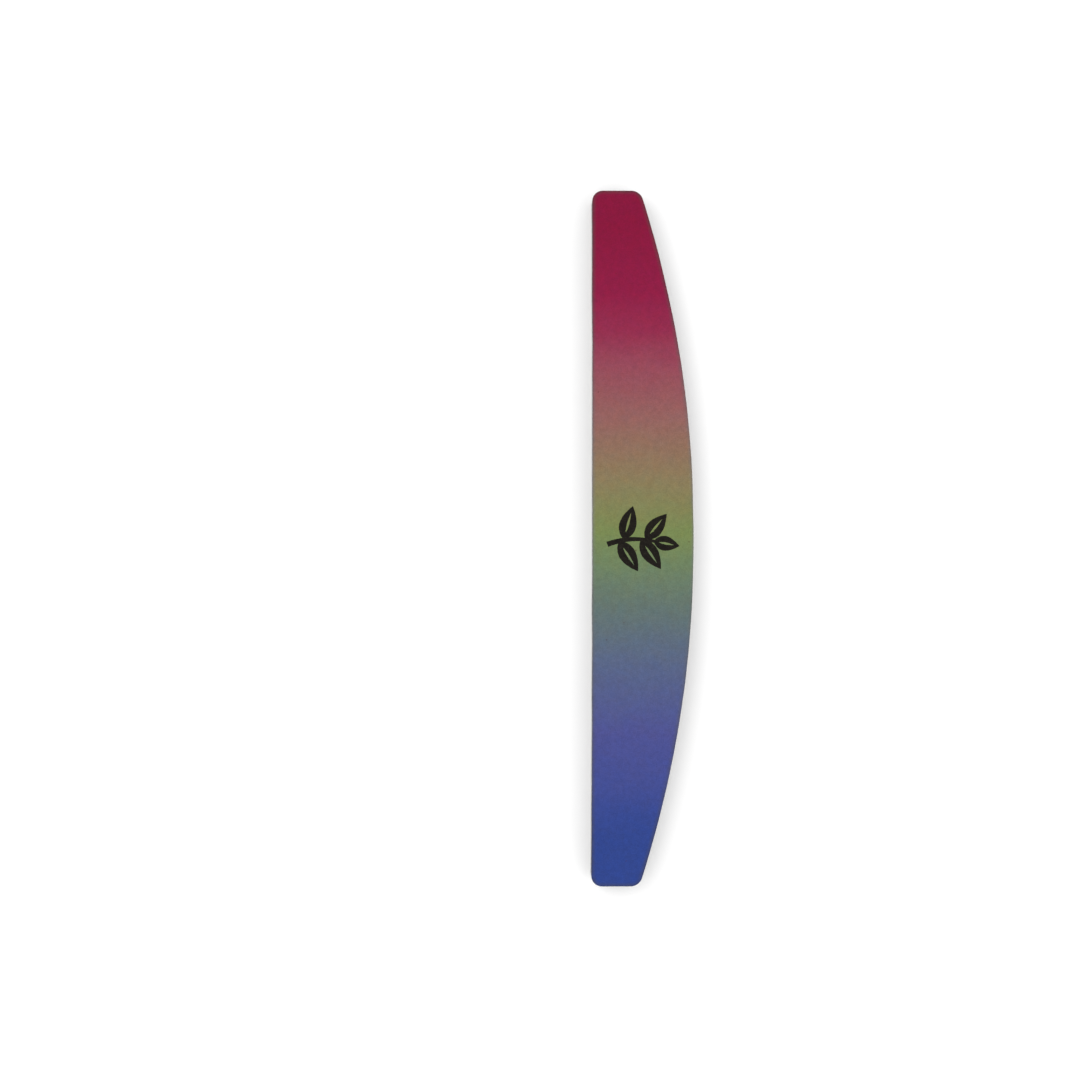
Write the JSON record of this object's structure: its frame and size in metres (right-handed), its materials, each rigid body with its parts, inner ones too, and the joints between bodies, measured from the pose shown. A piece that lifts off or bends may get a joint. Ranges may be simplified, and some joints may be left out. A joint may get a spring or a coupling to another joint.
{
  "type": "nail buffer",
  "caption": "Flat half-moon nail buffer with one straight and one curved long edge: a stiff core board between two foam cushions, faced both sides with rainbow-printed abrasive paper.",
  "frame": {"origin": "middle of the rear face that it lies on, at the centre of the bounding box seen from above", "axes": "+Y along the length towards the red end, +X from the straight long edge to the curved long edge, +Z out of the printed front face"},
  "size_m": [0.0264, 0.178, 0.0086],
  "materials": {
    "front_grit": "resin-bonded abrasive grain over a rainbow print, coarse and matt",
    "rear_grit": "resin-bonded abrasive grain over a rainbow print, finer and matt",
    "paper": "cut edge of latex-saturated backing paper",
    "adhesive_film": "translucent double-sided adhesive, satin",
    "foam": "closed-cell EVA foam, die-cut",
    "core_board": "white polystyrene sheet, die-cut edge",
    "ink": "screen-printed near-black ink"
  },
  "bodies": {
    "root": {"rear_grit_coat": "rear_grit", "rear_paper": "paper", "rear_outer_film": "adhesive_film", "rear_foam": "foam", "rear_inner_film": "adhesive_film", "core_board": "core_board", "front_inner_film": "adhesive_film", "front_foam": "foam", "front_outer_film": "adhesive_film", "front_paper": "paper", "front_grit_coat": "front_grit", "front_mark": "ink"}
  },
  "joints": []
}
